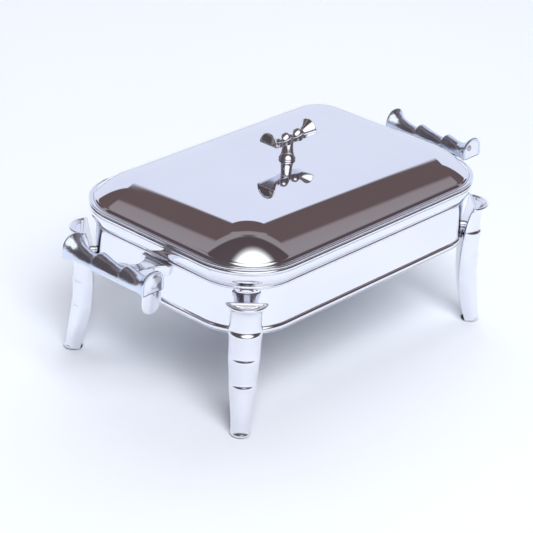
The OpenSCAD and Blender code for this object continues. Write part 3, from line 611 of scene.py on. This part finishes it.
def bracket_part():
    """Foot under the bar, waisted arm and pad: rings across Y, marched from the bar to the wall."""
    wall_x = HALF_L - BAR_X
    waist = wall_x + 23

    def half_at(x):
        if x > -13:
            return 45.4 - max(0.0, (x + 3.5) / 9.5) ** 2 * 6
        d = 30 ** 2 - (x - waist) ** 2
        return 38 - math.sqrt(max(0.0, d)) if d > 0 else 38

    def top_at(x):
        if x > -20:
            return 0.0
        u = min(1.0, (-20 - x) / (-20 - (waist - 4)))
        return -6.4 * (3 * u * u - 2 * u ** 3)

    def floor_at(x):
        if x > -8:
            return -4.1
        d = 40 ** 2 - (x + 8) ** 2
        return max(-18.1, -44.1 + math.sqrt(d)) if d > 0 else -18.1

    xs = [6.0, 5.6, 4.5, 2, -2, -6, -9, -11.5, -13.2, -14.2, -15.6, -17.5]
    xs += list(range(-20, -60, -3)) + [-61.5, -63.5, wall_x + 0.3]
    rings = []
    for x in xs:
        w, zt, zf = half_at(x), top_at(x), floor_at(x)
        rr = min(1.6, (zt - zf) * 0.4)
        pts = []
        for sy, cz, a0 in ((1, zt - rr, 0), (-1, zt - rr, 90), (-1, zf + rr, 180), (1, zf + rr, 270)):
            pts += [(x, y, BAR_Z + z) for y, z in arc(sy * (w - rr), cz, rr, a0, a0 + 90, 4)]
        rings.append(pts)
    arm = loft(rings)
    bz = at("backing_plates", 0, 2) + 5
    pad = []
    for inset, x in [(0, wall_x + 0.05), (0, wall_x + 2.2), (0.25, wall_x + 2.75), (0.9, wall_x + 3.0)]:
        ring = []
        for sy, a0 in ((1, 0), (-1, 90)):
            ring += arc(sy * (21 - inset - 1.2), bz + 7.5 - inset - 1.2, 1.2, a0, a0 + 90, 3)
        for sy, a0 in ((-1, 180), (1, 270)):
            ring += arc(sy * 13, bz + 1.5, 8 - inset, a0, a0 + 90, 10)
        pad.append([(x, y, z) for y, z in ring])
    return joined(arm, loft(pad))


def bar_frame(s):
    """Places a right-hand piece at the left (s = -1) or right (s = 1) bar."""
    return Matrix.Translation((s * BAR_X, 0, 0)) @ Matrix.Diagonal((s, 1, 1, 1))


BRACKET = bracket_part()
for side, s in (("left", -1), ("right", 1)):
    make("bamboo_bar_" + side, *moved(bar_mesh, bar_frame(s)), BAR_CAST, "server",
         ["side_handle_" + side], sharp=50)
    make("cast_bracket_" + side, *moved(BRACKET, bar_frame(s)), CAST, "server",
         ["handle_bracket_" + side], sharp=50)

HEAD = lathe([(3.5, -0.2), (3.5, 0.5), (3.3, 0.85), (2.9, 1.0), (2.5, 0.85), (2.3, 0.55), (1.6, 0.7),
              (0.9, 0.95), (0.1, 1.05)], 36)
SHANK = loft([circle(1.5, 20, z) for z in (-8.0, -0.2)])

caps, drops, heads = [], [], []
for s in (-1, 1):
    for sign in (-1, 1):
        place = bar_frame(s)
        drop = s < 0 and sign < 0     # only the near end of the left bar has the hanging plate
        (drops if drop else caps).append(moved(end_plate(sign, drop), place))
        seat = place @ Matrix.Translation((-6.4, sign * (BAR_Y - 0.4), BAR_Z + 8.9 + 4.8)) \
            @ Matrix.Rotation(math.radians(-90 * sign), 4, "X")
        heads += [moved(HEAD, seat), moved(SHANK, seat)]
make("arched_end_plates", *joined(*caps), CAST, "server", ["handle_end_caps"], sharp=40)
make("oval_drop_plate", *joined(*drops), CAST, "server", ["handle_drop_plate"], sharp=40)
make("end_plate_screws", *joined(*heads), PLAIN, "server", ["end_cap_screws"], slot="plain_steel")


# ---------------------------------------------------------------- pans

def pan(name, node, inset, lip, body):
    """A pan whose wall stands inset inside the casing wall, with a rolled lip lip inside it."""
    th, foot = 1.0, 12
    top, zb = at(node, 1, 2), at(node, 0, 2)
    pr = arc(-inset - foot, zb + foot, foot - th, -90, 0, 12)
    pr += [(-inset - th, top - 3.2)] + arc(-inset - th + 2.2, top - 2.2, 2.2, 180, 90, 6)
    pr += [(-lip - 1.2, top)] + arc(-lip - 0.8, top - 0.8, 0.8, 90, -90, 8) + [(-inset + 2.0, top - 1.4)]
    pr += arc(-inset + 1.4, top - 2.8, 1.4, 90, 180, 6) + [(-inset, zb + foot)]
    pr += arc(-inset - foot, zb + foot, foot, 0, -90, 12)[1:]
    make(name, *around(pr, closed=False, caps=True), SATIN, body, [node], slot="satin_steel",
         sharp=50, weighted=True)


pan("water_tray", "water_pan", 30, 14, "water_pan_body")
pan("food_tray", "food_pan", 33, 16, "food_pan_body")


# ---------------------------------------------------------------- knob

knob_hi = at("thermostat_knob", 1, 1)
knob_lo = at("thermostat_knob", 0, 1)
skirt_r = (at("thermostat_knob", 1, 0) - at("thermostat_knob", 0, 0)) / 2
FLUTES, ROUND = 24, 192               # grooves, and points round the skirt
rings = []
for up_, k in [(0, 0.965), (0.5, 1.0), (3.5, 0.985), (5.0, 0.965), (5.7, 0.93), (6.0, 0.86), (6.05, 0.80)]:
    y = knob_lo + up_
    ring = []
    for j in range(ROUND):
        a = 2 * math.pi * j / ROUND
        g = 0.5 + 0.5 * math.cos(FLUTES * a)
        rr = skirt_r * k * (1 - 0.045 * g ** 6 * (1 if k > 0.9 else 0))
        ring.append((cup_x + rr * math.cos(a), y, ctl_z + rr * math.sin(a)))
    rings.append(ring)
grip = []
for inset, y in [(0, knob_lo + 5.6), (0, knob_hi - 1.6), (0.25, knob_hi - 0.7), (0.8, knob_hi - 0.15),
                 (1.6, knob_hi)]:
    ring = []
    for j in range(64):
        a = 2 * math.pi * (j + 0.5) / 64
        x = (4.6 - inset) * (abs(math.cos(a)) ** 0.45) * (1 if math.cos(a) > 0 else -1)
        z = (14.2 - inset) * (abs(math.sin(a)) ** 0.6) * (1 if math.sin(a) > 0 else -1)
        ring.append((cup_x + x * (1 - 0.28 * (1 - min(1, abs(z) / 14))), y, ctl_z + z))
    grip.append(ring)
make("thermostat_dial", *joined(loft(rings), loft(grip)), BLACK, "knob", ["thermostat_knob"],
     slot="black_plastic", sharp=40)
mark = box_part((cup_x - 0.55, knob_hi - 0.3, ctl_z + 6.4), (cup_x + 0.55, knob_hi + 0.02, ctl_z + 12.6))
make("dial_pointer", *mark, CERAMIC, "knob", slot="ceramic")


# ---------------------------------------------------------------- floor, light, camera

def stage_material():
    m, nt, b = new_material("pale_sweep")
    c = ramp(nt, noise(nt, 1.3, 3), [(0.3, (0.84, 0.88, 0.935)), (0.7, (0.86, 0.90, 0.955))])
    nt.links.new(c, b.inputs["Base Color"])
    b.inputs["Roughness"].default_value = 0.85
    b.inputs["Specular IOR Level"].default_value = 0.1
    return m


AWAY = Vector((0.746, 0.666, 0.0))     # plan direction in which the camera looks
SIDE = Vector((0.666, -0.746, 0.0))

me = bpy.data.meshes.new("floor")
steps = [-7.0, -3.0, -1.0, 1.0, 3.0, 7.0]
vs = [tuple(AWAY * d + SIDE * w) for d in steps for w in steps]
fs = [(i * 6 + j, i * 6 + j + 1, i * 6 + j + 7, i * 6 + j + 6) for i in range(5) for j in range(5)]
me.from_pydata(vs, [], fs)
me.materials.append(stage_material())
floor = bpy.data.objects.new("floor", me)
bpy.context.scene.collection.objects.link(floor)


def area(name, loc, target, size, power, color):
    """A soft rectangular lamp that lights the scene but does not show in the steel."""
    li = bpy.data.lights.new(name, "AREA")
    li.shape = "RECTANGLE"
    li.size, li.size_y = size
    li.energy = power
    li.color = color
    o = bpy.data.objects.new(name, li)
    o.location = loc
    o.rotation_mode = "QUATERNION"
    o.rotation_quaternion = (Vector(target) - Vector(loc)).to_track_quat("-Z", "Y")
    o.visible_glossy = False
    bpy.context.scene.collection.objects.link(o)


key = AWAY * -3.6 + SIDE * 1.0
area("key", (key.x, key.y, 4.1), (0, 0, 0), (3.0, 3.0), 300, (0.965, 0.98, 1.0))
top = AWAY * 2.6
area("overhead", (top.x, top.y, 3.2), (top.x, top.y, 0), (5.0, 4.0), 84, (0.92, 0.96, 1.0))

# The surround that the steel shows, set by direction: a pale backdrop behind the object up to a
# clear edge, and a dim room with one lit strip above it and on the camera's side
world = bpy.data.worlds.new("studio")
world.use_nodes = True
bpy.context.scene.world = world
nt = world.node_tree
coord = nt.nodes.new("ShaderNodeTexCoord").outputs["Generated"]


def along(direction):
    d = nt.nodes.new("ShaderNodeVectorMath")
    d.operation = "DOT_PRODUCT"
    d.inputs[1].default_value = direction
    nt.links.new(coord, d.inputs[0])
    return d.outputs["Value"]


def calc(op, a, b=None):
    n = nt.nodes.new("ShaderNodeMath")
    n.operation = op
    for i, v in enumerate((a, b)):
        if isinstance(v, (int, float)):
            n.inputs[i].default_value = v
        elif v is not None:
            nt.links.new(v, n.inputs[i])
    return n.outputs["Value"]


def blend(fac, low, high):
    n = nt.nodes.new("ShaderNodeMix")
    n.data_type = "RGBA"
    nt.links.new(fac, n.inputs["Factor"])
    for sock, v in (("A", low), ("B", high)):
        s = [i for i in n.inputs if i.name == sock and i.type == "RGBA"][0]
        if isinstance(v, tuple):
            s.default_value = (*v, 1)
        else:
            nt.links.new(v, s)
    return [o for o in n.outputs if o.type == "RGBA"][0]


def step(value, edge, soft):
    r = nt.nodes.new("ShaderNodeMapRange")
    r.interpolation_type = "SMOOTHSTEP"
    r.inputs["From Min"].default_value = edge - soft
    r.inputs["From Max"].default_value = edge + soft
    nt.links.new(value, r.inputs["Value"])
    return r.outputs["Result"]


fore, side_, rise = along(tuple(AWAY)), along(tuple(SIDE)), along((0, 0, 1))
lean = calc("SUBTRACT", fore, calc("MULTIPLY", side_, 0.085))
lean_01 = nt.nodes.new("ShaderNodeMapRange")
lean_01.inputs["From Min"].default_value = -1.0
nt.links.new(lean, lean_01.inputs["Value"])
room = ramp(nt, lean_01.outputs["Result"], [
    (0.0, (0.12, 0.10, 0.105)), (0.42, (0.10, 0.078, 0.084)), (0.572, (0.095, 0.07, 0.075)),
    (0.592, (0.31, 0.28, 0.30)), (0.652, (0.30, 0.26, 0.27)), (0.668, (0.14, 0.10, 0.10)),
    (1.0, (0.13, 0.093, 0.095))])
backdrop_top = calc("ADD", rise, calc("MULTIPLY", side_, 0.1))
backdrop_side = calc("SUBTRACT", calc("MULTIPLY", fore, 1.03), calc("ABSOLUTE", side_))
behind = calc("MULTIPLY", calc("SUBTRACT", 1.0, step(backdrop_top, 0.71, 0.01)),
              step(backdrop_side, 0.0, 0.02))
sky = blend(behind, room, (0.80, 0.845, 0.985))
nt.links.new(sky, nt.nodes["Background"].inputs["Color"])


def soft_box(name, loc, target, size, color, strength):
    """A glowing panel that shows in the steel, brightest at its middle and fading to its edges."""
    me = bpy.data.meshes.new(name)
    w, h = size[0] / 2, size[1] / 2
    me.from_pydata([(-w, -h, 0), (w, -h, 0), (w, h, 0), (-w, h, 0)], [], [(0, 1, 2, 3)])
    m = bpy.data.materials.new(name)
    m.use_nodes = True
    ntc = m.node_tree
    ntc.nodes.clear()
    mp = ntc.nodes.new("ShaderNodeMapping")
    mp.inputs["Scale"].default_value = (1 / w, 1 / h, 1)
    ntc.links.new(ntc.nodes.new("ShaderNodeTexCoord").outputs["Object"], mp.inputs["Vector"])
    g = ntc.nodes.new("ShaderNodeTexGradient")
    g.gradient_type = "SPHERICAL"
    ntc.links.new(mp.outputs["Vector"], g.inputs["Vector"])
    em = ntc.nodes.new("ShaderNodeEmission")
    glow_ramp = ramp(ntc, g.outputs["Color"], [(0.0, (0, 0, 0)), (0.35, color), (1.0, color)])
    ntc.links.new(glow_ramp, em.inputs["Color"])
    em.inputs["Strength"].default_value = strength
    clear = ntc.nodes.new("ShaderNodeBsdfTransparent")
    mix = ntc.nodes.new("ShaderNodeMixShader")
    fade = ramp(ntc, g.outputs["Color"], [(0.0, (0, 0, 0)), (0.3, (1, 1, 1))])
    ntc.links.new(fade, mix.inputs["Fac"])
    ntc.links.new(clear.outputs["BSDF"], mix.inputs[1])
    ntc.links.new(em.outputs["Emission"], mix.inputs[2])
    out = ntc.nodes.new("ShaderNodeOutputMaterial")
    ntc.links.new(mix.outputs["Shader"], out.inputs["Surface"])
    me.materials.append(m)
    o = bpy.data.objects.new(name, me)
    o.location = loc
    o.rotation_mode = "QUATERNION"
    o.rotation_quaternion = (Vector(target) - Vector(loc)).to_track_quat("-Z", "Y")
    o.visible_camera = o.visible_shadow = o.visible_diffuse = False
    bpy.context.scene.collection.objects.link(o)


glow = AWAY * -2.6 + SIDE * 0.85
soft_box("soft_box", (glow.x, glow.y, 3.0), (0, 0, 0.2), (6.4, 6.6), (1.0, 1.0, 1.0), 1.35)

LENS_MM, SHIFT_X, SHIFT_Y = 141.791, 0.038086, 0.000938
AZIMUTH, ELEVATION, ROLL = (math.radians(a) for a in (-48.26, 26.57, 3.21))
LOOK_AT, DISTANCE = Vector((-0.22309, -0.14745, 0.21362)), 2.1

cam = bpy.data.cameras.new("camera")
cam.sensor_width = 36.0
cam.lens = LENS_MM
cam.shift_x, cam.shift_y = SHIFT_X, SHIFT_Y
cam.clip_start, cam.clip_end = 0.05, 60
level = Vector((math.cos(AZIMUTH), math.sin(AZIMUTH), 0))
back = Vector((math.sin(AZIMUTH) * math.cos(ELEVATION), -math.cos(AZIMUTH) * math.cos(ELEVATION),
               math.sin(ELEVATION)))
upright = back.cross(level)
right = level * math.cos(ROLL) + upright * math.sin(ROLL)
up = upright * math.cos(ROLL) - level * math.sin(ROLL)
stand = Matrix((right, up, back)).transposed().to_4x4()
stand.translation = LOOK_AT + back * DISTANCE
camera = bpy.data.objects.new("camera", cam)
camera.matrix_world = stand
bpy.context.scene.collection.objects.link(camera)
bpy.context.scene.camera = camera
bpy.context.scene.view_settings.view_transform = "Standard"
